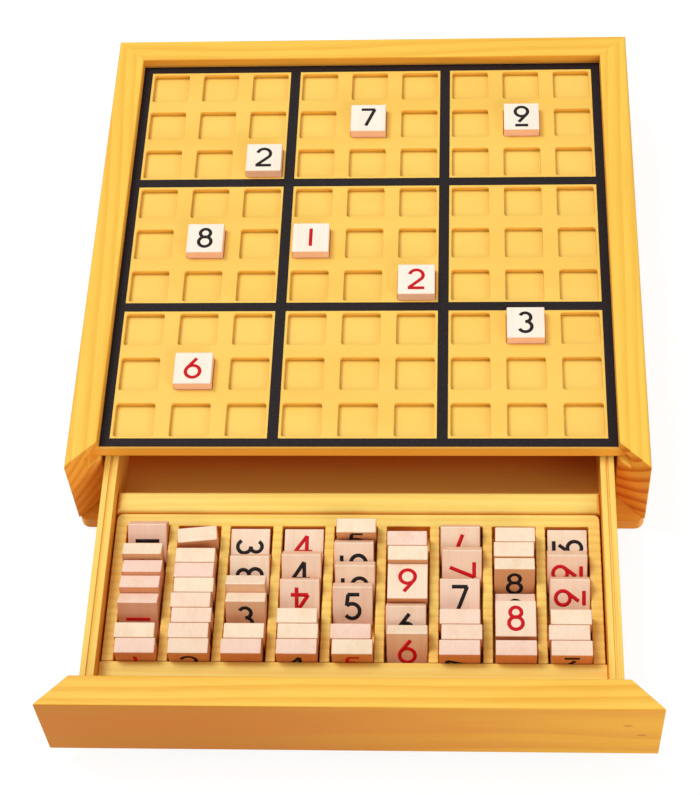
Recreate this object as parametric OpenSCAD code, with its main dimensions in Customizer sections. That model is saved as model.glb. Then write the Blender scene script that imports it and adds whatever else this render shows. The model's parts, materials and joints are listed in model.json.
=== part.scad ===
// Wooden number-placing board: a framed board of square pockets on top of a
// low case, with a drawer that keeps the number tiles in nine channels.
// The drawer front is the fourth side of the mitred frame.
// Origin: middle of the case's underside. +X right, +Y back, +Z up, millimetres.

/* [Tiles] */
// Side of a square number tile
tile_w = 15.5; // [12:0.1:24]
// Thickness of a number tile
tile_t = 6.5; // [5:0.1:9]

/* [Board] */
// Width of the wood between neighbouring pockets
pocket_rib = 6.6; // [5:0.1:12]
// Plain strip between the outer cells and the rails
board_border = 1.75; // [1:0.05:6]
// Depth of the board below the top of the rails
board_recess = 5; // [3:0.5:8]
// Thickness of the sheet with the square pockets
grid_sheet_t = 2.4; // [1:0.1:3.5]
// Thickness of the sheet under the pockets
backing_t = 4.1; // [3:0.1:7]
// Play of a tile in its pocket
pocket_play = 0.4; // [0.2:0.05:1]
// Gap between the board's front edge and the shut drawer front
board_front_gap = 1; // [0.5:0.1:3]

/* [Case] */
// Width of each rail, seen from above
rail_w = 12; // [9:0.5:16]
// Rounding of the rails' outer top edges
rail_round = 1.5; // [0.5:0.1:3]
// Depth of the groove in the rails that takes the board's edge
groove_depth = 5; // [3:0.5:6]
// Room left around the board in its groove
groove_clear = 0.1; // [0.05:0.05:0.3]
// Thickness of the panel under the rails
base_t = 6; // [4:0.5:12]
// How far the base panel stands ahead of the rails
base_lip = 0.5; // [0:0.1:2]
// Corner radius of the base panel
base_corner_r = 4; // [1:0.5:8]

/* [Drawer] */
// How far the drawer is pulled out
drawer_open = 102; // [0:1:160]
// Gap on each side between drawer and rails
drawer_side_gap = 1.5; // [0.5:0.1:3]
// Gap between the drawer sides and the base panel
drawer_foot_gap = 0.3; // [0.1:0.1:0.6]
// Gap between the drawer sides and the underside of the board
drawer_top_gap = 1; // [0.5:0.1:3]
// Gap behind the shut drawer
drawer_back_gap = 2; // [1:0.5:10]
// Gap between the drawer front and the base panel
front_foot_gap = 0.5; // [0.2:0.1:2]
// How far the drawer front lies below the top of the rails
front_top_drop = 0.2; // [0:0.1:2]
// Rounding of the drawer front's outer edges
front_round = 0.8; // [0.4:0.1:2]
// Thickness of the drawer's sides and back
side_t = 5.5; // [4:0.5:8]
// Width of the line cut along the top of each side
side_line_w = 0.9; // [0.5:0.1:1.5]
// Depth of the line cut along the top of each side
side_line_d = 0.7; // [0.3:0.1:1.5]
// Thickness of the drawer floor
floor_t = 3; // [2:0.5:4]
// Height of the drawer floor above the foot of the sides
floor_rise = 2.2; // [1:0.1:3]
// Depth of the grooves in the sides that hold the floor
floor_groove = 2.5; // [1.5:0.1:3.5]
// Room left around the floor in its grooves
floor_clear = 0.1; // [0.05:0.05:0.3]

/* [Tile tray] */
// Thickness of the tray under its channels
tray_floor_t = 4.8; // [2:0.1:10]
// Play of a tile across its channel
channel_play = 1.2; // [0.6:0.1:3]
// Depth of the channels
channel_depth = 9; // [6:0.5:11]
// Spare length of a channel when nine tiles stand in it
channel_end_play = 0.9; // [0.2:0.1:3]
// Room above the tallest tile, under the board
tile_headroom = 0.4; // [0.2:0.1:1.5]
// Gap between tray and drawer sides
tray_gap = 0.6; // [0.3:0.1:3]
// Thickness of the tray's end walls
tray_end_wall = 4.7; // [2:0.1:6]
// Thickness of the tray's rear wall
tray_rear_wall = 5.6; // [3:0.1:8]
// Radius of the tray's rear corners, seen from above
tray_corner_r = 2.5; // [0.5:0.1:4]
// Depth of the ledge between the drawer front and the tray
ledge_w = 15.8; // [8:0.1:24]
// Thickness of the bar behind the tray
bar_w = 10; // [6:0.5:14]
// Height of the bar above the drawer floor
bar_h = 15.5; // [8:0.5:20]
// Rounding of the bar's top edges and ends
bar_round = 3; // [1:0.5:4.5]

/* [Hidden] */
$fn = 48;
// Overrun of cuts past the faces that they open
cut = 1;
// Air between tiles that lean on each other
tile_air = 0.05;

// Cells along one side of the board, which is also the number of channels
cells = 9;

pocket_w = tile_w + pocket_play;
cell_pitch = pocket_w + pocket_rib;
board_w = cells * cell_pitch + 2 * board_border;
case_w = board_w + 2 * rail_w;
case_d = board_w + board_front_gap + 2 * rail_w;

// Heights above the ground, from the base panel up to the rim.
// A tile is highest when it leans on its corner, as its diagonal.
side_foot = base_t + drawer_foot_gap;
floor_foot = side_foot + floor_rise;
floor_top = floor_foot + floor_t;
channel_floor = floor_top + tray_floor_t;
tray_top = channel_floor + channel_depth;
board_foot = channel_floor + norm([tile_w, tile_t]) + tile_headroom;
grid_foot = board_foot + backing_t;
board_top = grid_foot + grid_sheet_t;
case_h = board_top + board_recess;
rail_h = case_h - base_t;
side_top = board_foot - drawer_top_gap;
front_foot = base_t + front_foot_gap;
front_h = case_h - front_top_drop - front_foot;

// Places along the depth of the case
inner_back = case_d / 2 - rail_w;
inner_front = -inner_back;
board_front = inner_front + board_front_gap;
board_mid = (board_front + inner_back) / 2;

// Drawer box, given for the shut drawer
drawer_out_w = board_w - 2 * drawer_side_gap;
drawer_in_w = drawer_out_w - 2 * side_t;
drawer_rear = inner_back - drawer_back_gap;

// Rear group of each channel, rear tile first: lean back from upright, in degrees.
// A value below zero is a pile of that many tiles, lying flat on each other.
rear_groups = [
    [48, 20, 16, 16, 28],
    [0],
    [80, 54, 30, 30],
    [82, 48, 54],
    [0, 50, 46, 46],
    [0, 0, -2, 52, 33],
    [52, 48, 60],
    [0, 0, 19, -2],
    [82, 44, 52]
];
// Tiles that stand upright against the ledge in each channel
front_counts = [2, 7, 2, 3, 2, 0, 3, 1, 3];
// Share of the spare length that lies behind the rear group of each channel
rear_gap_shares = [0, 0.63, 0, 0, 0, 1, 0, 0.6, 0];
// Share of a tile's side by which each tile of a pile lies ahead of the one below it
pile_shift_shares = [0, 0, 0, 0, 0, 0, 0, 0.42, 0];
// Halvings of the search for the lean that fits a channel
lean_steps = 20;

// One tile stands askew: its channel and its turn in degrees
askew_channel = 2;
askew_turn = 6;

// Share of the sideways play that the tiles use
sway_share = 0.7;
// Steps of the sideways pattern, in degrees per channel and per tile
sway_channel_turn = 97;
sway_tile_turn = 151;

function sway_of(channel, i) =
    sway_share * channel_play / 2 * sin(sway_channel_turn * channel + sway_tile_turn * i);

// Front edges of a leaning tile or pile as [distance ahead of the channel's rear wall, height].
// A leaning tile stands on its rear lower edge, a pile is placed by its lowest front edge.
function pile_shift(channel) = tile_w * pile_shift_shares[channel - 1];
function lower_edge(channel, lean, foot) =
    lean < 0 ? [foot + pile_shift(channel), 0] : [foot + tile_t * cos(lean), tile_t * sin(lean)];
function upper_edge(channel, lean, foot) =
    lower_edge(channel, lean, foot)
    + (lean < 0 ? [0, -lean * (tile_t + tile_air)] : tile_w * [-sin(lean), cos(lean)]);

// Least foot of a tile leaning by next that clears the upper edge, or the front, of the one behind
function clear_of_top(low, high, lean, next) =
    high[1] <= tile_w * cos(next)
    ? high[0] + high[1] * tan(next)
    : low[0] - (tile_w * cos(next) - low[1]) * tan(max(lean, 0)) + tile_w * sin(next);
function next_foot(low, high, lean, next) =
    tile_air + (next < 0 ? low[0] + tile_w
                : max(low[0] + low[1] * tan(next), clear_of_top(low, high, lean, next)));
// The rearmost tile leans on the top edge of the channel's rear wall, or against the wall
function first_foot(lean) =
    tile_air + (lean < 0 ? tile_w : min(tile_w * cos(lean), channel_depth) * tan(lean));

// Places in a rear group whose leans are eased by a factor
function lean_of(channel, i, ease) =
    rear_groups[channel - 1][i] < 0 ? rear_groups[channel - 1][i] : ease * rear_groups[channel - 1][i];
function packed_foot(channel, i, ease) =
    i == 0 ? first_foot(lean_of(channel, 0, ease))
    : let (lean = lean_of(channel, i - 1, ease), foot = packed_foot(channel, i - 1, ease))
      next_foot(lower_edge(channel, lean, foot), upper_edge(channel, lean, foot), lean,
                lean_of(channel, i, ease));
function last_of(channel) = len(rear_groups[channel - 1]) - 1;
function group_length(channel, ease) =
    lower_edge(channel, lean_of(channel, last_of(channel), ease),
               packed_foot(channel, last_of(channel), ease))[0];

// A channel holds nine upright tiles. The rear group gets the room that the front ones leave.
channel_len = cells * tile_t + channel_end_play;
function room_behind(count) = channel_len - count * (tile_t + tile_air);
function group_room(channel) = room_behind(front_counts[channel - 1]) - tile_air;

// Largest easing, up to 1, at which the rear group fits its room
function ease_between(channel, low, high, steps) =
    steps == 0 ? low
    : group_length(channel, (low + high) / 2) <= group_room(channel)
    ? ease_between(channel, (low + high) / 2, high, steps - 1)
    : ease_between(channel, low, (low + high) / 2, steps - 1);
function ease_of(channel) =
    group_length(channel, 1) <= group_room(channel) ? 1 : ease_between(channel, 0, 1, lean_steps);
function rear_gap(channel, ease) =
    rear_gap_shares[channel - 1] * (group_room(channel) - group_length(channel, ease));

// Tile tray, given for the shut drawer
channel_w = tile_w + channel_play;
tray_w = drawer_in_w - 2 * tray_gap;
divider_t = (tray_w - 2 * tray_end_wall - cells * channel_w) / (cells - 1);
channel_pitch = channel_w + divider_t;
tray_front = inner_front + ledge_w;
channel_rear = tray_front + channel_len;
tray_rear = channel_rear + tray_rear_wall;

// Rail section: x runs from the outer face inwards, y upwards from the base panel
module rail_section() {
    difference() {
        union() {
            square([rail_w, rail_h - rail_round]);
            translate([rail_round, 0]) square([rail_w - rail_round, rail_h]);
            translate([rail_round, rail_h - rail_round]) circle(r = rail_round);
        }
        translate([rail_w - groove_depth, board_foot - base_t - groove_clear])
            square([groove_depth + cut, board_top - board_foot + 2 * groove_clear]);
    }
}

// Rail with its outer face at x = -reach and mitred ends, lying along y
module mitred_rail(reach, length) {
    intersection() {
        translate([-reach, length / 2, base_t]) rotate([90, 0, 0])
            linear_extrude(length) rail_section();
        linear_extrude(case_h + cut) polygon([
            [-reach, -length / 2], [-reach, length / 2],
            [-reach + rail_w, length / 2 - rail_w], [-reach + rail_w, -length / 2 + rail_w]]);
    }
}

module back_rail() {
    color("#f2bf55") rotate([0, 0, -90]) mitred_rail(case_d / 2, case_w);
}

module left_rail() {
    color("#f2bf55") mitred_rail(case_w / 2, case_d);
}

module right_rail() {
    color("#f2bf55") mirror([1, 0, 0]) mitred_rail(case_w / 2, case_d);
}

// Panel under the rails, with round corners
module base_panel() {
    panel_d = case_d + base_lip;
    color("#d99a45") translate([0, -base_lip / 2, 0]) linear_extrude(base_t) {
        square([case_w - 2 * base_corner_r, panel_d], center = true);
        square([case_w, panel_d - 2 * base_corner_r], center = true);
        for (sx = [-1, 1], sy = [-1, 1])
            translate([sx * (case_w / 2 - base_corner_r), sy * (panel_d / 2 - base_corner_r)])
                circle(r = base_corner_r);
    }
}

// Outline of the board's sheets, held by the grooves of three rails
module board_outline() {
    tongue = groove_depth - groove_clear;
    translate([-board_w / 2 - tongue, board_front])
        square([board_w + 2 * tongue, inner_back + tongue - board_front]);
}

// Middle of a cell: rows count from the back, columns from the left
function cell_place(row, column) =
    [(column - (cells + 1) / 2) * cell_pitch, board_mid - (row - (cells + 1) / 2) * cell_pitch];

module board_grid() {
    color("#ffcd63") translate([0, 0, grid_foot]) linear_extrude(grid_sheet_t) difference() {
        board_outline();
        for (row = [1:cells], column = [1:cells])
            translate(cell_place(row, column)) square(pocket_w, center = true);
    }
}

module board_backing() {
    color("#f5bd52") translate([0, 0, board_foot]) linear_extrude(backing_t) board_outline();
}

module board_tile(row, column) {
    color("#f7dfc4") translate(concat(cell_place(row, column), grid_foot))
        linear_extrude(tile_t) square(tile_w, center = true);
}

// Everything in the drawer moves out by drawer_open
module pulled_out() {
    translate([0, -drawer_open, 0]) children();
}

// Front section: x runs from the outer face inwards, y upwards
module front_section() {
    translate([front_round, 0]) square([rail_w - front_round, front_h]);
    translate([0, front_round]) square([rail_w, front_h - 2 * front_round]);
    for (y = [front_round, front_h - front_round]) translate([front_round, y]) circle(r = front_round);
}

module drawer_front() {
    color("#eeb04a") pulled_out() intersection() {
        translate([-case_w / 2, -case_d / 2, front_foot]) rotate([90, 0, 90])
            linear_extrude(case_w) front_section();
        linear_extrude(case_h + cut) polygon([
            [-case_w / 2, -case_d / 2], [case_w / 2, -case_d / 2],
            [case_w / 2 - rail_w, inner_front], [-case_w / 2 + rail_w, inner_front]]);
    }
}

// Side of the drawer on the right, with the floor's groove and a line along its top
module drawer_side() {
    difference() {
        translate([drawer_in_w / 2, inner_front, side_foot])
            cube([side_t, drawer_rear - inner_front, side_top - side_foot]);
        translate([drawer_in_w / 2 - cut, inner_front - cut, floor_foot - floor_clear])
            cube([floor_groove + cut, drawer_rear - inner_front + 2 * cut, floor_t + 2 * floor_clear]);
        translate([drawer_in_w / 2 + (side_t - side_line_w) / 2, inner_front - cut, side_top - side_line_d])
            cube([side_line_w, drawer_rear - inner_front + 2 * cut, side_line_d + cut]);
    }
}

module drawer_left_side() {
    color("#f5c765") pulled_out() mirror([1, 0, 0]) drawer_side();
}

module drawer_right_side() {
    color("#f5c765") pulled_out() drawer_side();
}

module drawer_back() {
    color("#f0bf5e") pulled_out() translate([-drawer_in_w / 2, drawer_rear - side_t, floor_top])
        cube([drawer_in_w, side_t, side_top - floor_top]);
}

module drawer_floor() {
    floor_w = drawer_in_w + 2 * (floor_groove - floor_clear);
    color("#e3b060") pulled_out() translate([-floor_w / 2, inner_front, floor_foot])
        cube([floor_w, drawer_rear - inner_front, floor_t]);
}

module front_ledge() {
    color("#f5bd5a") pulled_out() translate([-drawer_in_w / 2, inner_front, floor_top])
        cube([drawer_in_w, ledge_w, tray_top - floor_top]);
}

// Plate with its two upper corners rounded, standing on y = 0
module arched_plate(width, height) {
    translate([-width / 2, 0]) square([width, height - bar_round]);
    translate([-width / 2 + bar_round, 0]) square([width - 2 * bar_round, height]);
    for (side = [-1, 1])
        translate([side * (width / 2 - bar_round), height - bar_round]) circle(r = bar_round);
}

// Bar across the drawer, rounded along its top edges and at its ends
module divider_bar() {
    color("#fbd676") pulled_out() translate([0, tray_rear + bar_w / 2, floor_top]) intersection() {
        rotate([90, 0, 90]) translate([0, 0, -drawer_in_w / 2]) linear_extrude(drawer_in_w)
            arched_plate(bar_w, bar_h);
        rotate([90, 0, 0]) translate([0, 0, -bar_w / 2]) linear_extrude(bar_w)
            arched_plate(drawer_in_w, bar_h);
    }
}

function channel_x(channel) = (channel - (cells + 1) / 2) * channel_pitch;

// Outline of the tray from above, with its two rear corners rounded
module tray_outline() {
    tray_d = tray_rear - tray_front;
    translate([-tray_w / 2, 0]) square([tray_w, tray_d - tray_corner_r]);
    translate([-tray_w / 2 + tray_corner_r, 0]) square([tray_w - 2 * tray_corner_r, tray_d]);
    for (side = [-1, 1])
        translate([side * (tray_w / 2 - tray_corner_r), tray_d - tray_corner_r]) circle(r = tray_corner_r);
}

// Block with nine channels that run out at the front, where the ledge closes them
module tile_tray() {
    color("#f7cb6a") pulled_out() difference() {
        translate([0, tray_front, floor_top]) linear_extrude(tray_top - floor_top) tray_outline();
        for (channel = [1:cells])
            translate([channel_x(channel) - channel_w / 2, tray_front - cut, channel_floor])
                cube([channel_w, channel_len + cut, channel_depth + cut]);
    }
}

// Tile on its rear lower edge, at the origin, leaning back
module leaning_tile(lean) {
    rotate([-lean, 0, 0]) translate([-tile_w / 2, -tile_t, 0]) cube([tile_w, tile_t, tile_w]);
}

// Upright tile turned about its own middle, in the room that the tiles ahead of it leave
module askew_tile() {
    depth = tile_w * sin(askew_turn) + tile_t * cos(askew_turn);
    gap = rear_gap_shares[askew_channel - 1] * (group_room(askew_channel) - depth);
    translate([0, -gap - depth / 2, 0]) rotate([0, 0, askew_turn])
        translate([0, tile_t / 2, 0]) leaning_tile(0);
}

// Tiles lying flat on each other, their faces up
module tile_pile(channel, count) {
    for (k = [0:count - 1])
        translate([0, -k * pile_shift(channel), k * (tile_t + tile_air)]) leaning_tile(90);
}

// Tiles of one channel: the rear group, then the upright ones at the ledge
module drawer_tiles(channel) {
    ease = ease_of(channel);
    color("#f3d9bf") pulled_out() translate([channel_x(channel), channel_rear, channel_floor]) {
        if (channel == askew_channel) askew_tile();
        else for (i = [0:last_of(channel)])
            translate([sway_of(channel, i), -packed_foot(channel, i, ease) - rear_gap(channel, ease), 0])
                if (lean_of(channel, i, ease) < 0) tile_pile(channel, -lean_of(channel, i, ease));
                else leaning_tile(lean_of(channel, i, ease));
        if (front_counts[channel - 1] > 0) for (i = [1:front_counts[channel - 1]])
            translate([-sway_of(channel, i), -room_behind(i), 0]) leaning_tile(0);
    }
}

back_rail();
left_rail();
right_rail();
base_panel();
board_grid();
board_backing();
drawer_front();
drawer_left_side();
drawer_right_side();
drawer_back();
drawer_floor();
front_ledge();
divider_bar();
tile_tray();
drawer_tiles(1);  // drawer_tiles_1
drawer_tiles(2);  // drawer_tiles_2
drawer_tiles(3);  // drawer_tiles_3
drawer_tiles(4);  // drawer_tiles_4
drawer_tiles(5);  // drawer_tiles_5
drawer_tiles(6);  // drawer_tiles_6
drawer_tiles(7);  // drawer_tiles_7
drawer_tiles(8);  // drawer_tiles_8
drawer_tiles(9);  // drawer_tiles_9
board_tile(2, 5);  // board_tile_7
board_tile(2, 8);  // board_tile_9
board_tile(3, 3);  // board_tile_2_left
board_tile(5, 2);  // board_tile_8
board_tile(5, 4);  // board_tile_1
board_tile(6, 6);  // board_tile_2_right
board_tile(7, 8);  // board_tile_3
board_tile(8, 2);  // board_tile_6
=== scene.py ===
import json
import math

import bmesh
import bpy
from mathutils import Matrix, Vector

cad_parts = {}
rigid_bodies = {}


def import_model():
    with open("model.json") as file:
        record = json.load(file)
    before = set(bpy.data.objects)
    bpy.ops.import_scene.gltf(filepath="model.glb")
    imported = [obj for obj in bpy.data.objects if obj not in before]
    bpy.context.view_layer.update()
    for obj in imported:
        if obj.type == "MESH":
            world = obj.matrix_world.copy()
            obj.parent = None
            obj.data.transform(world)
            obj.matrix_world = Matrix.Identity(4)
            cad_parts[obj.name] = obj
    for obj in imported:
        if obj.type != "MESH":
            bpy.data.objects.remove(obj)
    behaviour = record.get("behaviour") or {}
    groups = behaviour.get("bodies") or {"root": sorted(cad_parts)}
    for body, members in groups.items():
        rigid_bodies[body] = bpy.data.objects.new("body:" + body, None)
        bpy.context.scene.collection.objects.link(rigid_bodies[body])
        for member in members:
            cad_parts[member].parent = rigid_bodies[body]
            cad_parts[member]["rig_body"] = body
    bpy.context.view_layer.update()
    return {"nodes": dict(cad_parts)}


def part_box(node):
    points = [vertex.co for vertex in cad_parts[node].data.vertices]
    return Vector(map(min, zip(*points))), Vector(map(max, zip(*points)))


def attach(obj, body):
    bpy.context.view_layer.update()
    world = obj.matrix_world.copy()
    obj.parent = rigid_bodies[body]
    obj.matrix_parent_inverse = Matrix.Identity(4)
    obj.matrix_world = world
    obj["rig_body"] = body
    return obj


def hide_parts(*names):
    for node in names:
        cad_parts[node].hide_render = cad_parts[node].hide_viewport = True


MM = 0.001

# Sizes in millimetres that the part's solids have too
CELLS, PITCH, POCKET = 9, 22.5, 15.9
TILE_W, TILE_T = 15.5, 6.5
BOARD_MID = 0.5

# Small widths in millimetres: eased edges, and the gap that keeps a film of paint off its wood
RAIL_EASE, FRONT_EASE, SIDE_EASE = 0.7, 0.9, 0.25
LEDGE_EASE, BAR_EASE, TRAY_EASE, TILE_EASE = 0.5, 0.4, 0.5, 0.45
FILM_GAP = 0.01

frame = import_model()
nodes = frame["nodes"]
body_of = {n: o["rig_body"] for n, o in nodes.items()}


# Small helpers

def srgb(r, g, b):
    """A colour as seen on screen, 0 to 255, in Blender's linear values."""
    def lin(v):
        v /= 255
        return v / 12.92 if v <= 0.04045 else ((v + 0.055) / 1.055) ** 2.4
    return (lin(r), lin(g), lin(b), 1)


def add(tree, kind, values=None, **props):
    """A node with its properties and inputs set; an input may be another node's socket."""
    n = tree.nodes.new(kind)
    for key, value in props.items():
        setattr(n, key, value)
    for key, value in (values or {}).items():
        if isinstance(value, bpy.types.NodeSocket):
            tree.links.new(value, n.inputs[key])
        else:
            n.inputs[key].default_value = value
    return n


def maths(tree, operation, a, b=0.0, c=0.0):
    return add(tree, "ShaderNodeMath", {0: a, 1: b, 2: c}, operation=operation).outputs[0]


def vmath(tree, operation, a, b=(0, 0, 0)):
    n = add(tree, "ShaderNodeVectorMath", {0: a, 1: b}, operation=operation)
    return n.outputs["Value"] if operation in ("LENGTH", "DOT_PRODUCT") else n.outputs[0]


def smooth_step(tree, value, low, high, to_low=0.0, to_high=1.0):
    n = add(tree, "ShaderNodeMapRange", {0: value, 1: low, 2: high, 3: to_low, 4: to_high},
            interpolation_type="SMOOTHSTEP")
    return n.outputs[0]


def mix_colour(tree, factor, a, b, blend="MIX"):
    n = add(tree, "ShaderNodeMix", {0: factor, 6: a, 7: b}, data_type="RGBA", blend_type=blend)
    return n.outputs[2]


def noise(tree, vector, scale, detail=2.0):
    return add(tree, "ShaderNodeTexNoise", {"Vector": vector, "Scale": scale, "Detail": detail})


def link_object(name, mesh):
    piece = bpy.data.objects.new(name, mesh)
    bpy.context.scene.collection.objects.link(piece)
    return piece


# Shared finishes

def sockets(group, ins, outs):
    for name, kind, value in ins:
        s = group.interface.new_socket(name, in_out="INPUT", socket_type=kind)
        if value is not None:
            s.default_value = value
    for name, kind in outs:
        group.interface.new_socket(name, in_out="OUTPUT", socket_type=kind)
    return (group.nodes.new("NodeGroupInput").outputs, group.nodes.new("NodeGroupOutput"))


def grain_group():
    """Growth rings round a pith line, fine fibres and broad clouds, with the grain along X."""
    g = bpy.data.node_groups.new("pine_grain", "ShaderNodeTree")
    i, o = sockets(g, [
        ("Place", "NodeSocketVector", None), ("Normal", "NodeSocketVector", None),
        ("Pith", "NodeSocketVector", (0.0, 0.02, -0.05)), ("Ring spacing", "NodeSocketFloat", 0.0032),
        ("Wander", "NodeSocketFloat", 0.012),
    ], [("Rings", "NodeSocketFloat"), ("Fibres", "NodeSocketFloat"),
        ("Clouds", "NodeSocketFloat"), ("End grain", "NodeSocketFloat"), ("Steep", "NodeSocketFloat")])
    drift = noise(g, vmath(g, "MULTIPLY", i["Place"], (3.5, 16, 16)), 1.0, 2.0).outputs["Color"]
    drift = vmath(g, "SUBTRACT", drift, (0.5, 0.5, 0.5))
    drift = add(g, "ShaderNodeVectorMath", {0: drift, "Scale": i["Wander"]},
                operation="SCALE").outputs[0]
    away = vmath(g, "SUBTRACT", vmath(g, "ADD", i["Place"], drift), i["Pith"])
    reach = vmath(g, "LENGTH", vmath(g, "MULTIPLY", away, (0, 1, 1)))
    turn = maths(g, "FRACT", maths(g, "DIVIDE", reach, i["Ring spacing"]))
    rings = maths(g, "MULTIPLY", smooth_step(g, turn, 0.25, 0.85), smooth_step(g, turn, 1.0, 0.88))
    fibres = noise(g, vmath(g, "MULTIPLY", i["Place"], (45, 1300, 1300)), 1.0, 3.0).outputs[0]
    clouds = noise(g, vmath(g, "MULTIPLY", i["Place"], (9, 55, 55)), 1.0, 3.0).outputs[0]
    ends = maths(g, "ABSOLUTE", vmath(g, "DOT_PRODUCT", i["Normal"], (1, 0, 0)))
    up = maths(g, "ABSOLUTE", vmath(g, "DOT_PRODUCT", i["Normal"], (0, 0, 1)))
    for name, value in (("Rings", rings), ("Fibres", fibres), ("Clouds", clouds),
                        ("End grain", smooth_step(g, ends, 0.35, 0.65)),
                        ("Steep", smooth_step(g, up, 0.85, 0.35))):
        g.links.new(value, o.inputs[name])
    return g


GRAIN = grain_group()


def surface(name, sheen):
    """An empty material with its shader, and the tree to fill."""
    m = bpy.data.materials.new(name)
    m.use_nodes = True
    tree = m.node_tree
    shader = tree.nodes["Principled BSDF"]
    shader.inputs["Specular IOR Level"].default_value = sheen
    return m, tree, shader


TURN = {"x": 0.0, "y": -math.pi / 2}


def pine(name, along, light, dark, steep_shade, pith=(0, 0.02, -0.05), spacing=3.2, ring_share=0.45,
         roughness=0.42, far_steep_lit=None, cut_share=1.0, cut_rings=0.8, slope=0.0, knots=()):
    """Lacquered pine with its grain along one axis, or some degrees off it. Upright faces are painted
    deeper and oranger as painted shade, and faces cut across the grain show rings. An upright face can
    grow lighter from left to right as painted light, and hold small knots, given by their middles in
    millimetres across and up."""
    m, t, shader = surface(name, 0.14)
    at = add(t, "ShaderNodeTexCoord")
    turn = (0, 0, TURN[along] + math.radians(slope))
    place = add(t, "ShaderNodeMapping", {"Vector": at.outputs["Object"], "Rotation": turn})
    facing = add(t, "ShaderNodeMapping", {"Vector": at.outputs["Normal"], "Rotation": turn},
                 vector_type="NORMAL")
    g = add(t, "ShaderNodeGroup", node_tree=GRAIN)
    t.links.new(place.outputs[0], g.inputs["Place"])
    t.links.new(facing.outputs[0], g.inputs["Normal"])
    g.inputs["Pith"].default_value = pith
    g.inputs["Ring spacing"].default_value = spacing * MM
    rings, fibres, clouds, ends = (g.outputs[k] for k in ("Rings", "Fibres", "Clouds", "End grain"))
    depth = maths(t, "MULTIPLY", rings, ring_share)
    depth = maths(t, "MULTIPLY_ADD", smooth_step(t, fibres, 0.45, 0.8), 0.22, depth)
    depth = maths(t, "MULTIPLY_ADD", smooth_step(t, clouds, 0.4, 0.75), 0.30, depth)
    face = mix_colour(t, depth, light, dark)
    # Painted light: upright faces grow lighter towards the right
    if far_steep_lit:
        across = add(t, "ShaderNodeSeparateXYZ", {0: at.outputs["Object"]}).outputs[0]
        steep_shade = mix_colour(t, smooth_step(t, across, -0.06, 0.11), steep_shade, far_steep_lit)
    wall = mix_colour(t, maths(t, "MULTIPLY", depth, 0.5), steep_shade, END_DARK)
    for across, high in knots:
        away = vmath(t, "SUBTRACT", at.outputs["Object"], (across * MM, 0, high * MM))
        reach = vmath(t, "LENGTH", vmath(t, "MULTIPLY", away, (1 / KNOT_WIDE, 0, 1 / KNOT_TALL)))
        wall = mix_colour(t, smooth_step(t, reach, 1.0, 0.3, 0.0, 0.6), wall, KNOT)
    # Painted shade: upright faces take the deeper, oranger colour
    face = mix_colour(t, g.outputs["Steep"], face, wall)
    cut = mix_colour(t, maths(t, "MULTIPLY_ADD", fibres, 0.2, maths(t, "MULTIPLY", rings, cut_rings)),
                     END_LIGHT, END_DARK)
    share = maths(t, "MULTIPLY", ends, cut_share)
    t.links.new(mix_colour(t, share, face, cut), shader.inputs["Base Color"])
    rough = maths(t, "MULTIPLY_ADD", fibres, 0.2, roughness - 0.08)
    t.links.new(rough, shader.inputs["Roughness"])
    height = maths(t, "MULTIPLY_ADD", rings, -0.4, fibres)
    bump = add(t, "ShaderNodeBump", {"Strength": 0.12, "Distance": 0.0002, "Height": height})
    t.links.new(bump.outputs[0], shader.inputs["Normal"])
    return m


# Depths in metres between which the painted light comes in, lighter towards the front
LIT_FROM_TO = (-0.088, -0.106)


def board_finish(name, light, dark, wall, lit_front=None):
    """Smooth stained sheet. Its cut edges and pocket walls are deeper, partly from the stain that cut
    edges take up and partly as painted shade. Its front can be painted lighter, as painted light.
    """
    m, t, shader = surface(name, 0.2)
    at = add(t, "ShaderNodeTexCoord")
    g = add(t, "ShaderNodeGroup", node_tree=GRAIN)
    t.links.new(at.outputs["Object"], g.inputs["Place"])
    t.links.new(at.outputs["Normal"], g.inputs["Normal"])
    g.inputs["Pith"].default_value = (0, 0.05, -0.4)
    g.inputs["Ring spacing"].default_value = 0.004
    depth = maths(t, "MULTIPLY", smooth_step(t, g.outputs["Clouds"], 0.35, 0.75), 0.6)
    depth = maths(t, "MULTIPLY_ADD", g.outputs["Fibres"], 0.25, depth)
    flat = mix_colour(t, depth, light, dark)
    if lit_front:
        ahead = add(t, "ShaderNodeSeparateXYZ", {0: at.outputs["Object"]}).outputs[1]
        # Painted light: the floor grows lighter towards the front, where less shade falls
        flat = mix_colour(t, smooth_step(t, ahead, *LIT_FROM_TO), flat, lit_front)
    # Upright faces take the wall colour: partly stain on cut edges, partly painted shade
    t.links.new(mix_colour(t, g.outputs["Steep"], flat, wall), shader.inputs["Base Color"])
    t.links.new(maths(t, "MULTIPLY_ADD", g.outputs["Fibres"], 0.2, 0.36), shader.inputs["Roughness"])
    bump = add(t, "ShaderNodeBump", {"Strength": 0.08, "Distance": 0.0002,
                                     "Height": g.outputs["Fibres"]})
    t.links.new(bump.outputs[0], shader.inputs["Normal"])
    return m


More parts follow.
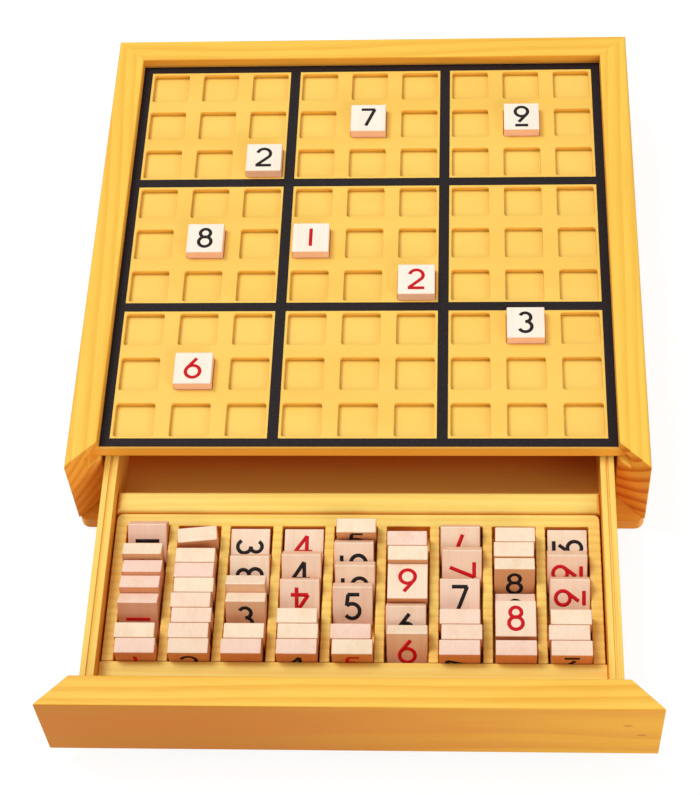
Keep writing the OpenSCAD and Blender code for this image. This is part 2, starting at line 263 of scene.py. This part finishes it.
def tile_finish(name, cream, pink, streak, side_shade):
    """Bare close-grained tile wood: each tile has its own tone and its own grain place."""
    m, t, shader = surface(name, 0.15)
    place = add(t, "ShaderNodeAttribute", attribute_name="grain_place").outputs["Vector"]
    tone = add(t, "ShaderNodeAttribute", attribute_name="tone").outputs["Fac"]
    lines = noise(t, vmath(t, "MULTIPLY", place, (1100, 45, 500)), 1.0, 3.0).outputs[0]
    cloud = noise(t, vmath(t, "MULTIPLY", place, (150, 40, 90)), 1.0, 2.0).outputs[0]
    base = mix_colour(t, tone, cream, pink)
    facing = add(t, "ShaderNodeTexCoord").outputs["Normal"]
    up = maths(t, "ABSOLUTE", vmath(t, "DOT_PRODUCT", facing, (0, 0, 1)))
    # Painted shade: faces that don't look up are darker and warmer, tinted like light bounced from the
    # yellow wood
    base = mix_colour(t, smooth_step(t, up, 0.95, 0.3), base, side_shade, "MULTIPLY")
    share = maths(t, "MULTIPLY_ADD", smooth_step(t, lines, 0.45, 0.8), 0.3,
                  maths(t, "MULTIPLY", smooth_step(t, cloud, 0.4, 0.8), 0.35))
    t.links.new(mix_colour(t, share, base, streak, "MULTIPLY"), shader.inputs["Base Color"])
    t.links.new(maths(t, "MULTIPLY_ADD", lines, 0.15, 0.52), shader.inputs["Roughness"])
    bump = add(t, "ShaderNodeBump", {"Strength": 0.1, "Distance": 0.0001, "Height": lines})
    t.links.new(bump.outputs[0], shader.inputs["Normal"])
    return m


def paint(name, colour, worn, roughness):
    """Thin printed paint, a little uneven."""
    m, t, shader = surface(name, 0.12)
    at = add(t, "ShaderNodeTexCoord").outputs["Object"]
    patch = noise(t, at, 900.0, 3.0).outputs[0]
    tone = mix_colour(t, smooth_step(t, patch, 0.45, 0.8), colour, worn)
    t.links.new(tone, shader.inputs["Base Color"])
    t.links.new(maths(t, "MULTIPLY_ADD", patch, 0.2, roughness - 0.1), shader.inputs["Roughness"])
    return m


# Rail colours: light and dark grain, and a deeper one that paints shade on upright faces
GOLD, AMBER, STEEP_SHADE = srgb(252, 206, 86), srgb(240, 176, 58), srgb(252, 180, 64)
END_LIGHT, END_DARK = srgb(255, 184, 72), srgb(216, 114, 28)
KNOT, KNOT_WIDE, KNOT_TALL = srgb(176, 96, 30), 2.6 * MM, 1.0 * MM

# Each pine's third colour is painted shade for its upright faces; the drawer front's far colour is
# painted light on its right
rail_left = pine("left_rail_pine", "y", GOLD, AMBER, STEEP_SHADE, pith=(0, 0.160, 0.075),
                 spacing=4.4, cut_rings=0.4, slope=-2.5)
rail_right = pine("right_rail_pine", "y", GOLD, AMBER, STEEP_SHADE, pith=(0, -0.060, 0.072),
                  spacing=4.4, slope=1.5)
rail_across = pine("back_rail_pine", "x", GOLD, AMBER, STEEP_SHADE, pith=(0, 0.14, -0.01))
front_pine = pine("drawer_front_pine", "x", srgb(252, 203, 88), srgb(234, 166, 50), srgb(206, 128, 20),
                  pith=(0, -0.262, 0.03), spacing=4.6, ring_share=0.5, far_steep_lit=srgb(246, 180, 52),
                  knots=[(102, 31), (107.5, 23)])
side_pine = pine("drawer_side_pine", "y", srgb(252, 216, 112), srgb(240, 192, 82), srgb(244, 174, 68))
bar_pine = pine("bar_pine", "x", srgb(253, 222, 122), srgb(246, 202, 90), srgb(222, 146, 50),
                cut_share=0.2)
tray_pine = pine("tray_pine", "x", srgb(253, 220, 120), srgb(242, 194, 84), srgb(226, 146, 50))
base_pine = pine("base_pine", "x", srgb(246, 182, 70), srgb(236, 162, 56), srgb(232, 148, 46),
                 cut_rings=0.3)
sheet_face = board_finish("board_sheet_face", srgb(252, 208, 100), srgb(246, 196, 84),
                          srgb(250, 192, 84))
sheet_back = board_finish("board_sheet_back", srgb(252, 214, 108), srgb(247, 203, 92),
                          srgb(250, 176, 62))
# The drawer floor's colours are darkened below the wood's own as painted shade, with painted light in
# front
bin_floor = board_finish("drawer_floor_sheet", srgb(220, 116, 36), srgb(204, 98, 28), srgb(226, 138, 46),
                         lit_front=srgb(253, 186, 84))
# The drawer tiles' copy is creamier and much darker on its sides than the board tiles', as painted shade
# deep in the drawer
tile_wood = tile_finish("tile_wood", srgb(252, 233, 202), srgb(250, 214, 197), srgb(242, 220, 202),
                        srgb(226, 180, 142))
board_tile_wood = tile_finish("board_tile_wood", srgb(255, 246, 230), srgb(254, 232, 216),
                              srgb(248, 234, 222), srgb(255, 214, 190))
black_paint = paint("black_paint", srgb(30, 23, 25), srgb(48, 40, 41), 0.55)
red_paint = paint("red_paint", srgb(206, 16, 28), srgb(216, 44, 48), 0.55)


# Pieces from the frame, with their edges eased

def merged_copy(node):
    """The CAD node's mesh as closed flat faces, to work on."""
    bm = bmesh.new()
    bm.from_mesh(nodes[node].data)
    bmesh.ops.remove_doubles(bm, verts=bm.verts, dist=1e-6)
    bmesh.ops.dissolve_limit(bm, angle_limit=math.radians(0.5), verts=bm.verts, edges=bm.edges)
    return bm


# Least share of a face's normal along both X and Y that makes it a diagonal cut
DIAGONAL = 0.6


def no_joint(normal, middle):
    return False


def glued_mitre(normal, middle):
    """A diagonal end at the back of the frame, where two rails are glued together."""
    return min(abs(normal.x), abs(normal.y)) > DIAGONAL and middle.y > 0


def ease_edges(bm, width, steps, joint=no_joint, sharp=40):
    """Round the sharp edges, but not those of a face that is glued to the next piece."""
    glued = {f for f in bm.faces if joint(f.normal, f.calc_center_median())}
    edges = [e for e in bm.edges if len(e.link_faces) == 2
             and e.calc_face_angle(0) > math.radians(sharp) and glued.isdisjoint(e.link_faces)]
    bmesh.ops.bevel(bm, geom=edges, offset=width * MM, segments=steps, profile=0.5,
                    affect="EDGES", clamp_overlap=True)


def piece_from(bm, name, material, joint=no_joint):
    """A mesh piece at the origin, shaded so that flat faces stay flat and eased edges look round."""
    bmesh.ops.recalc_face_normals(bm, faces=bm.faces)
    mesh = bpy.data.meshes.new(name)
    bm.to_mesh(mesh)
    bm.free()
    mesh.materials.append(material)
    mesh.polygons.foreach_set("use_smooth", [True] * len(mesh.polygons))
    normals = [Vector() for _ in mesh.vertices]
    glued = {f.index for f in mesh.polygons if joint(f.normal, f.center)}
    for face in mesh.polygons:
        for v in face.vertices:
            if face.index not in glued:
                normals[v] += face.normal * face.area
    mesh.normals_split_custom_set([face.normal if face.index in glued else normals[v].normalized()
                                   for face in mesh.polygons for v in face.vertices])
    return link_object(name, mesh)


def settle(piece, node):
    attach(piece, body_of[node])
    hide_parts(node)
    return piece


def eased(node, material, width, steps=2, joint=no_joint):
    bm = merged_copy(node)
    ease_edges(bm, width, steps, joint)
    return settle(piece_from(bm, node + "_eased", material, joint), node)


def dress(node, material):
    """A CAD node that stays, with a better finish."""
    mesh = nodes[node].data
    if mesh.materials:
        for s in nodes[node].material_slots:
            s.material = material
    else:
        mesh.materials.append(material)


eased("left_rail", rail_left, RAIL_EASE, joint=glued_mitre)
eased("right_rail", rail_right, RAIL_EASE, joint=glued_mitre)
eased("back_rail", rail_across, RAIL_EASE, joint=glued_mitre)
eased("drawer_front", front_pine, FRONT_EASE, steps=3)
eased("drawer_left_side", side_pine, SIDE_EASE)
eased("drawer_right_side", side_pine, SIDE_EASE)
eased("front_ledge", bar_pine, LEDGE_EASE)
eased("divider_bar", bar_pine, BAR_EASE)
eased("tile_tray", tray_pine, TRAY_EASE)
dress("base_panel", base_pine)
dress("drawer_back", base_pine)
dress("board_backing", sheet_back)
dress("drawer_floor", bin_floor)


# Pierced sheet of the board

def grid_tree(material):
    """Copies of one pierced cell in rows and columns, joined into a sheet."""
    t = bpy.data.node_groups.new("pocket_rows", "GeometryNodeTree")
    i, o = sockets(t, [("Geometry", "NodeSocketGeometry", None), ("Cell", "NodeSocketObject", None),
                       ("Count", "NodeSocketInt", CELLS), ("Pitch", "NodeSocketFloat", PITCH * MM)],
                   [("Geometry", "NodeSocketGeometry")])
    span = maths(t, "MULTIPLY", maths(t, "SUBTRACT", i["Count"], 1.0), i["Pitch"])
    rows = add(t, "GeometryNodeMeshGrid", {"Size X": span, "Size Y": span,
                                           "Vertices X": i["Count"], "Vertices Y": i["Count"]})
    cell = add(t, "GeometryNodeObjectInfo", {"Object": i["Cell"], "As Instance": True})
    put = add(t, "GeometryNodeInstanceOnPoints", {"Points": rows.outputs["Mesh"],
                                                  "Instance": cell.outputs["Geometry"]})
    real = add(t, "GeometryNodeRealizeInstances", {"Geometry": put.outputs[0]})
    weld = add(t, "GeometryNodeMergeByDistance", {"Geometry": real.outputs[0], "Distance": 1e-6})
    out = add(t, "GeometryNodeSetMaterial", {"Geometry": weld.outputs[0], "Material": material})
    t.links.new(out.outputs[0], o.inputs[0])
    return t


def grown(tree, start, **values):
    """The plain mesh that a tree makes from a starting object, which is then taken away."""
    mod = start.modifiers.new("grow", "NODES")
    mod.node_group = tree
    for item in tree.interface.items_tree:
        if item.in_out == "INPUT" and item.name in values:
            mod[item.identifier] = values[item.name]
    seen = start.evaluated_get(bpy.context.evaluated_depsgraph_get())
    mesh = bpy.data.meshes.new_from_object(seen)
    start.modifiers.clear()
    bpy.data.objects.remove(start)
    return mesh


def round_square(half, corner, steps=4):
    """Points round a square with rounded corners, the same number in each corner."""
    pts = []
    for k in range(4):
        mid = math.radians(45 + 90 * k)
        cx = math.copysign(half - corner, math.cos(mid))
        cy = math.copysign(half - corner, math.sin(mid))
        for s in range(steps + 1):
            a = math.radians(90 * k + 90 * s / steps)
            pts.append((cx + corner * math.cos(a), cy + corner * math.sin(a)))
    return pts


def pocket_cell(thick, corner=1.0, rim=0.35):
    """One cell of the sheet: flat top, eased rim, pocket wall and flat underside."""
    half, wall = PITCH / 2, POCKET / 2
    lip = round_square(wall + rim, corner + rim)
    edge = [(x * half / max(abs(x), abs(y)), y * half / max(abs(x), abs(y))) for x, y in lip]
    rings = [(edge, 0), (lip, 0), (round_square(wall + 0.3 * rim, corner + 0.3 * rim), -0.3 * rim),
             (round_square(wall, corner), -rim), (round_square(wall, corner), -thick), (edge, -thick)]
    bm = bmesh.new()
    loops = [[bm.verts.new((x * MM, y * MM, z * MM)) for x, y in pts] for pts, z in rings]
    n = len(edge)
    for upper, lower in zip(loops, loops[1:]):
        for k in range(n):
            bm.faces.new((upper[k], lower[k], lower[(k + 1) % n], upper[(k + 1) % n]))
    mesh = bpy.data.meshes.new("pocket_cell")
    bm.to_mesh(mesh)
    bm.free()
    return link_object("pocket_cell", mesh)


def pierced_sheet():
    low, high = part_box("board_grid")
    thick = (high.z - low.z) / MM
    mid_y = BOARD_MID * MM
    cell = pocket_cell(thick)
    start = link_object("sheet_start", bpy.data.meshes.new("sheet_start"))
    mesh = grown(grid_tree(sheet_face), start, Cell=cell)
    bpy.data.objects.remove(cell)
    bm = bmesh.new()
    bm.from_mesh(mesh)
    half = CELLS * PITCH / 2 * MM
    ends = {}
    for e in [e for e in bm.edges if len(e.link_faces) == 1]:
        pair = []
        for v in e.verts:
            if v not in ends:
                x, y = v.co.x, v.co.y + mid_y
                x = (high.x if x > 0 else low.x) if abs(abs(v.co.x) - half) < 1e-6 else x
                y = (high.y if y > 0 else low.y) if abs(abs(v.co.y) - half) < 1e-6 else y
                ends[v] = bm.verts.new((x, y - mid_y, v.co.z))
            pair.append(ends[v])
        bm.faces.new((e.verts[0], e.verts[1], pair[1], pair[0]))
    bmesh.ops.remove_doubles(bm, verts=bm.verts, dist=1e-7)
    open_edges = [e for e in bm.edges if len(e.link_faces) == 1]
    bmesh.ops.bridge_loops(bm, edges=open_edges)
    for v in bm.verts:
        v.co = Vector((v.co.x, v.co.y + mid_y, v.co.z + high.z))
    piece = piece_from(bm, "board_grid_eased", sheet_face)
    settle(piece, "board_grid")


pierced_sheet()


# Painted lines

def lines_tree(material):
    """Lines round and between the blocks of nine, long ones one way and short ones between them."""
    t = bpy.data.node_groups.new("block_lines", "GeometryNodeTree")
    i, o = sockets(t, [("Geometry", "NodeSocketGeometry", None), ("Block", "NodeSocketFloat", 0.0675),
                       ("Width", "NodeSocketFloat", 0.0044), ("Reach", "NodeSocketFloat", 0.103),
                       ("Film", "NodeSocketFloat", 0.00004)], [("Geometry", "NodeSocketGeometry")])
    block, width, reach, film = i["Block"], i["Width"], i["Reach"], i["Film"]
    inner = maths(t, "SUBTRACT", maths(t, "MULTIPLY", block, 1.5), maths(t, "MULTIPLY", width, 0.5))
    edge_w = maths(t, "SUBTRACT", reach, inner)
    edge_span = maths(t, "ADD", reach, inner)
    gap = maths(t, "SUBTRACT", block, width)
    long = maths(t, "MULTIPLY", reach, 2.0)
    two = maths(t, "MULTIPLY", block, 2.0)
    parts = []
    for count, size_x, size_y, wide, deep in (
            (1, block, 0.0, width, long), (1, edge_span, 0.0, edge_w, long),
            (3, two, block, gap, width), (3, two, edge_span, gap, edge_w)):
        if count == 1:
            spots = add(t, "GeometryNodeMeshGrid", {"Size X": size_x, "Size Y": 0.0,
                                                    "Vertices X": 2, "Vertices Y": 2})
            weld = add(t, "GeometryNodeMergeByDistance", {"Geometry": spots.outputs[0],
                                                          "Distance": 1e-6})
            points = weld.outputs[0]
        else:
            points = add(t, "GeometryNodeMeshGrid", {"Size X": size_x, "Size Y": size_y,
                                                     "Vertices X": 3, "Vertices Y": 2}).outputs[0]
        size = add(t, "ShaderNodeCombineXYZ", {0: wide, 1: deep, 2: film})
        strip = add(t, "GeometryNodeMeshCube", {"Size": size.outputs[0]})
        put = add(t, "GeometryNodeInstanceOnPoints", {"Points": points, "Instance": strip.outputs[0]})
        parts.append(put.outputs[0])
    join = add(t, "GeometryNodeJoinGeometry")
    for part in parts:
        t.links.new(part, join.inputs[0])
    real = add(t, "GeometryNodeRealizeInstances", {"Geometry": join.outputs[0]})
    out = add(t, "GeometryNodeSetMaterial", {"Geometry": real.outputs[0], "Material": material})
    t.links.new(out.outputs[0], o.inputs[0])
    return t


def painted_lines():
    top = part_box("board_grid")[1].z
    start = link_object("lines_start", bpy.data.meshes.new("lines_start"))
    mesh = grown(lines_tree(black_paint), start)
    mesh.transform(Matrix.Translation((0, BOARD_MID * MM, top + FILM_GAP * MM)))
    piece = link_object("block_lines", mesh)
    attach(piece, "case")


painted_lines()


# Tiles and their numbers

def arc(cx, cy, r, a0, a1, steps=18):
    return [(cx + r * math.cos(math.radians(a0 + (a1 - a0) * s / steps)),
             cy + r * math.sin(math.radians(a0 + (a1 - a0) * s / steps))) for s in range(steps + 1)]


# Each stroke lies this many millimetres above the one before it, so that crossings stay clean
STROKE_STEP = 0.02
# Heights of the numbers in millimetres. The nine has a thinner line under it, and sits higher for it.
NUMBER_TALL, NINE_TALL = 9.4, 8.8
NINE_LIFT, UNDERLINE, UNDERLINE_SHARE = 0.12, 2, 0.6
SIX = [arc(0, -0.19, 0.31, 0, 360, 28), [(-0.246, -0.001), (0.14, 0.5)]]
STROKES = {
    1: [[(0, -0.5), (0, 0.5)]],
    2: [arc(0, 0.2, 0.3, 168, -36) + [(-0.34, -0.5)], [(-0.36, -0.5), (0.36, -0.5)]],
    3: [arc(-0.02, 0.26, 0.24, 155, -90), arc(-0.02, -0.24, 0.28, 90, -155)],
    4: [[(0.12, 0.5), (-0.36, -0.2)], [(-0.36, -0.2), (0.36, -0.2)], [(0.12, 0.5), (0.12, -0.5)]],
    5: [[(0.28, 0.5), (-0.2, 0.5)], [(-0.18, 0.5), (-0.24, 0.03)], arc(-0.02, -0.19, 0.31, 135, -145)],
    6: SIX,
    7: [[(-0.32, 0.5), (0.32, 0.5)], [(0.3, 0.5), (-0.1, -0.5)]],
    8: [arc(0, 0.27, 0.23, 0, 360, 24), arc(0, -0.22, 0.28, 0, 360, 28)],
    9: [[(-x, -y) for x, y in s] for s in SIX] + [[(-0.32, -0.72), (0.32, -0.72)]],
}


def strokes_tree(material, label):
    """A flat ribbon of paint along each stroke."""
    t = bpy.data.node_groups.new("number_strokes_" + label, "GeometryNodeTree")
    i, o = sockets(t, [("Geometry", "NodeSocketGeometry", None), ("Width", "NodeSocketFloat", 0.00145),
                       ("Film", "NodeSocketFloat", 0.00006)], [("Geometry", "NodeSocketGeometry")])
    upright = add(t, "GeometryNodeSetCurveNormal", {"Curve": i["Geometry"]})
    upright.mode = "Z_UP"
    ribbon = add(t, "GeometryNodeCurvePrimitiveQuadrilateral", {"Width": i["Width"],
                                                                "Height": i["Film"]})
    sweep = add(t, "GeometryNodeCurveToMesh", {"Curve": upright.outputs[0],
                                               "Profile Curve": ribbon.outputs[0], "Fill Caps": True})
    real = add(t, "GeometryNodeRealizeInstances", {"Geometry": sweep.outputs[0]})
    out = add(t, "GeometryNodeSetMaterial", {"Geometry": real.outputs[0], "Material": material})
    t.links.new(out.outputs[0], o.inputs[0])
    return t


def number_mesh(number, tree, tall):
    curve = bpy.data.curves.new("strokes", "CURVE")
    curve.dimensions = "3D"
    lift = NINE_LIFT if number == 9 else 0.0
    for order, pts in enumerate(STROKES[number]):
        loop = len(pts) > 2 and abs(pts[0][0] - pts[-1][0]) + abs(pts[0][1] - pts[-1][1]) < 1e-6
        pts = pts[:-1] if loop else pts
        s = curve.splines.new("POLY")
        s.points.add(len(pts) - 1)
        s.use_cyclic_u = loop
        for p, (x, y) in zip(s.points, pts):
            p.co = (x * tall * MM, (y + lift) * tall * MM, order * STROKE_STEP * MM, 1)
            p.radius = UNDERLINE_SHARE if number == 9 and order == UNDERLINE else 1.0
    return grown(tree, link_object("strokes", curve))


PAINTS = {"black": black_paint, "red": red_paint}
TREES = {label: strokes_tree(material, label) for label, material in PAINTS.items()}
NUMBERS = {}


def number(value, label):
    if (value, label) not in NUMBERS:
        tall = NINE_TALL if value == 9 else NUMBER_TALL
        NUMBERS[value, label] = number_mesh(value, TREES[label], tall)
    return NUMBERS[value, label]


# A number lies on the face of its tile that looks up and to the front
TOWARDS_PLAYER = Vector((0, -0.58, 0.81))
# Steps in metres by which each tile takes its grain from another place in the wood
TILE_STEP, ROW_STEP, BOTH_STEP = 0.13, 0.29, 0.071


def tile_frames(node):
    """Middle, right, up and outward directions of each tile in a node, from the back to the front."""
    bm = merged_copy(node)
    seen, found = set(), []
    for v in bm.verts:
        if v in seen:
            continue
        group, todo = [], [v]
        while todo:
            w = todo.pop()
            if w in seen:
                continue
            seen.add(w)
            group.append(w.co.copy())
            todo += [e.other_vert(w) for e in w.link_edges]
        near = sorted(group[1:], key=lambda p: (p - group[0]).length)[:3]
        middle = sum(group, Vector()) / len(group)
        out = (near[0] - group[0]).normalized()
        out = out if out.dot(TOWARDS_PLAYER) > 0 else -out
        right = max((near[1] - group[0], near[2] - group[0]), key=lambda d: abs(d.x)).normalized()
        right = right if right.x > 0 else -right
        found.append((middle, right, out.cross(right), out))
    bm.free()
    return sorted(found, key=lambda f: (-round(f[0].y, 4), f[0].z))


def tile_pieces(node, tones, seed, material):
    """The node's tiles with eased edges, each with its own tone and grain."""
    frames = tile_frames(node)
    bm = merged_copy(node)
    ease_edges(bm, TILE_EASE, 2)
    tone_layer = bm.verts.layers.float.new("tone")
    place_layer = bm.verts.layers.float_vector.new("grain_place")
    for v in bm.verts:
        best = min(range(len(frames)), key=lambda k: box_distance(v.co, frames[k]))
        middle, right, up, out = frames[best]
        d = v.co - middle
        shift = Vector((TILE_STEP * (best + 1), ROW_STEP * seed, BOTH_STEP * (best + seed)))
        v[tone_layer] = tones[best]
        v[place_layer] = Vector((d.dot(right), d.dot(up), d.dot(out))) + shift
    settle(piece_from(bm, node + "_eased", material), node)
    return frames


def box_distance(p, f):
    """How far a point lies from the middle of a tile, in shares of the tile's sizes."""
    d = p - f[0]
    return max(abs(d.dot(f[1])) / TILE_W, abs(d.dot(f[2])) / TILE_W, abs(d.dot(f[3])) / TILE_T)


def on_face(f, turn, high=0.0):
    """Where a number lies on a tile: its outward face, turned about a point above its middle."""
    middle, right, up, out = f
    basis = Matrix((right, up, out)).transposed().to_4x4()
    face = TILE_T / 2 + FILM_GAP
    place = Matrix.Translation(middle + out * (face * MM) + up * (high * MM))
    return place @ basis @ Matrix.Rotation(math.radians(turn), 4, "Z")


def paint_numbers(name, body, marks):
    """One piece for each colour on a body: (tile frame, number, colour, turn, mm above the middle)."""
    for label in ("black", "red"):
        bm = bmesh.new()
        for f, value, colour, turn, *high in marks:
            if colour == label:
                mesh = number(value, label).copy()
                mesh.transform(on_face(f, turn, *high))
                bm.from_mesh(mesh)
                bpy.data.meshes.remove(mesh)
        if bm.verts:
            mesh = bpy.data.meshes.new(name + "_" + label)
            bm.to_mesh(mesh)
            mesh.materials.append(PAINTS[label])
            piece = link_object(name + "_" + label, mesh)
            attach(piece, body)
        bm.free()


# One row for each channel: tones from the back to the front, then (tile, colour, turn, millimetres
# above the middle) of the numbers that face out. A channel holds tiles of its own number.
CHANNELS = [
    ([0.75, 0.15, 0.9, 0.8, 0.75, 0.15, 0.8],
     [(0, "black", 90, 1.0), (1, "red", 0), (4, "red", 90), (6, "red", 0)]),
    ([0.3, 0.15, 0.85, 0.1, 0.5, 0.55, 0.45, 0.35], [(7, "black", 0)]),
    ([0.4, 0.35, 0.3, 0.25, 0.15, 0.85],
     [(0, "black", -90), (1, "black", 90, 0.3), (3, "black", 0)]),
    ([0.4, 0.5, 0.5, 0.15, 0.2, 0.75],
     [(0, "red", 0), (1, "black", 0), (2, "red", 180), (5, "black", 0)]),
    ([0.15, 0.45, 0.4, 0.45, 0.85, 0.15],
     [(0, "black", 0, 1.6), (1, "black", 90), (2, "black", 90), (3, "black", 0), (5, "red", 0)]),
    ([0.75, 0.1, 0.4, 0.35, 0.45, 0.2],
     [(1, "black", 0), (3, "red", 180), (4, "black", 0), (5, "red", 0)]),
    ([0.4, 0.45, 0.55, 0.65, 0.5, 0.75],
     [(0, "red", 180), (1, "red", -90), (2, "black", 0), (5, "black", 90)]),
    ([0.3, 0.3, 0.1, 0.5, 0.4, 0.8], [(2, "black", 0), (3, "black", 0), (4, "red", 0)]),
    ([0.35, 0.45, 0.45, 0.2, 0.45, 0.5],
     [(0, "black", -90), (1, "red", 90, 0.5), (2, "red", 90, 0.5), (5, "black", 180)]),
]
drawer_marks = []
for k, (tones, marks) in enumerate(CHANNELS, start=1):
    frames = tile_pieces(f"drawer_tiles_{k}", tones, k, tile_wood)
    drawer_marks += [(frames[at], k, *mark) for at, *mark in marks]
paint_numbers("drawer_numbers", "drawer", drawer_marks)

BOARD_TILES = [("7", 7, "black"), ("9", 9, "black"), ("2_left", 2, "black"), ("8", 8, "black"),
               ("1", 1, "red"), ("2_right", 2, "red"), ("3", 3, "black"), ("6", 6, "red")]
for k, (key, value, colour) in enumerate(BOARD_TILES):
    f = tile_pieces(f"board_tile_{key}", [0.2 + 0.05 * (k % 4)], 20 + k, board_tile_wood)[0]
    paint_numbers(f"number_{key}", f"tile_{key}", [(f, value, colour, 0)])


# Floor, light and camera

def seen_directly(tree):
    path = add(tree, "ShaderNodeLightPath").outputs
    return maths(tree, "MAXIMUM", path["Is Camera Ray"],
                 maths(tree, "MAXIMUM", path["Is Glossy Ray"], path["Is Transmission Ray"]))


# Lamps: place in metres, size in metres and power in watts, all aimed at one point over the drawer
LAMPS = {"key": ((-1.7, 1.0, 3.4), 1.7, 84.0), "fill": ((1.1, -1.5, 0.75), 1.1, 13.0)}
LAMP_AIM = Vector((0, -0.05, 0.03))
# The floor lies this many metres under the object, so that their faces don't coincide
FLOOR_DROP, FLOOR_HALF = 0.0002, 4


def studio():
    bm = bmesh.new()
    bmesh.ops.create_grid(bm, x_segments=1, y_segments=1, size=FLOOR_HALF)
    mesh = bpy.data.meshes.new("floor")
    bm.to_mesh(mesh)
    bm.free()
    mesh.transform(Matrix.Translation((0, 0, -FLOOR_DROP)))
    floor = link_object("floor", mesh)
    m = bpy.data.materials.new("pale_floor")
    m.use_nodes = True
    t = m.node_tree
    t.nodes.clear()
    bounce = add(t, "ShaderNodeBsdfDiffuse", {"Color": (0.8, 0.8, 0.8, 1)})
    shade = add(t, "ShaderNodeBsdfDiffuse", {"Color": (0.22, 0.22, 0.22, 1)})
    white = add(t, "ShaderNodeEmission", {"Color": (1, 1, 1, 1), "Strength": 0.86})
    both = add(t, "ShaderNodeAddShader", {0: shade.outputs[0], 1: white.outputs[0]})
    mix = add(t, "ShaderNodeMixShader", {0: seen_directly(t), 1: bounce.outputs[0], 2: both.outputs[0]})
    out = add(t, "ShaderNodeOutputMaterial")
    t.links.new(mix.outputs[0], out.inputs["Surface"])
    mesh.materials.append(m)

    world = bpy.data.worlds.new("studio")
    bpy.context.scene.world = world
    world.use_nodes = True
    t = world.node_tree
    t.nodes.clear()
    soft = add(t, "ShaderNodeBackground", {"Color": (1, 0.985, 0.96, 1), "Strength": 0.48})
    plain = add(t, "ShaderNodeBackground", {"Color": (1, 1, 1, 1), "Strength": 1.0})
    mix = add(t, "ShaderNodeMixShader", {0: seen_directly(t), 1: soft.outputs[0], 2: plain.outputs[0]})
    out = add(t, "ShaderNodeOutputWorld")
    t.links.new(mix.outputs[0], out.inputs["Surface"])

    for name, (place, size, power) in LAMPS.items():
        lamp = bpy.data.lights.new(name, "AREA")
        lamp.size, lamp.energy = size, power
        o = bpy.data.objects.new(name, lamp)
        bpy.context.scene.collection.objects.link(o)
        o.location = place
        o.rotation_euler = (LAMP_AIM - Vector(place)).to_track_quat("-Z", "Y").to_euler()


# The camera that took the photo, as fitted to it: focal length and picture height in pixels,
# place in millimetres, and the directions that point right, down and ahead in the picture
FOCAL_PIXELS, PHOTO_TALL, SENSOR = 2000.2, 795, 36
CAMERA_PLACE = Vector((44.45, -531.6, 703.38))
CAMERA_RIGHT = Vector((0.99823, 0.03277, -0.0497))
CAMERA_DOWN = Vector((-0.00095, -0.82603, -0.56363))
CAMERA_AHEAD = Vector((-0.05952, 0.56268, -0.82453))


def photo_camera():
    cam = bpy.data.cameras.new("photo_camera")
    cam.sensor_width = SENSOR
    cam.lens = FOCAL_PIXELS * SENSOR / PHOTO_TALL
    cam.clip_start, cam.clip_end = 0.01, 20
    o = bpy.data.objects.new("photo_camera", cam)
    bpy.context.scene.collection.objects.link(o)
    turn = Matrix((CAMERA_RIGHT, -CAMERA_DOWN, -CAMERA_AHEAD)).transposed().to_4x4()
    o.matrix_world = Matrix.Translation(CAMERA_PLACE * MM) @ turn
    bpy.context.scene.camera = o


studio()
photo_camera()
bpy.context.scene.view_settings.view_transform = "Standard"
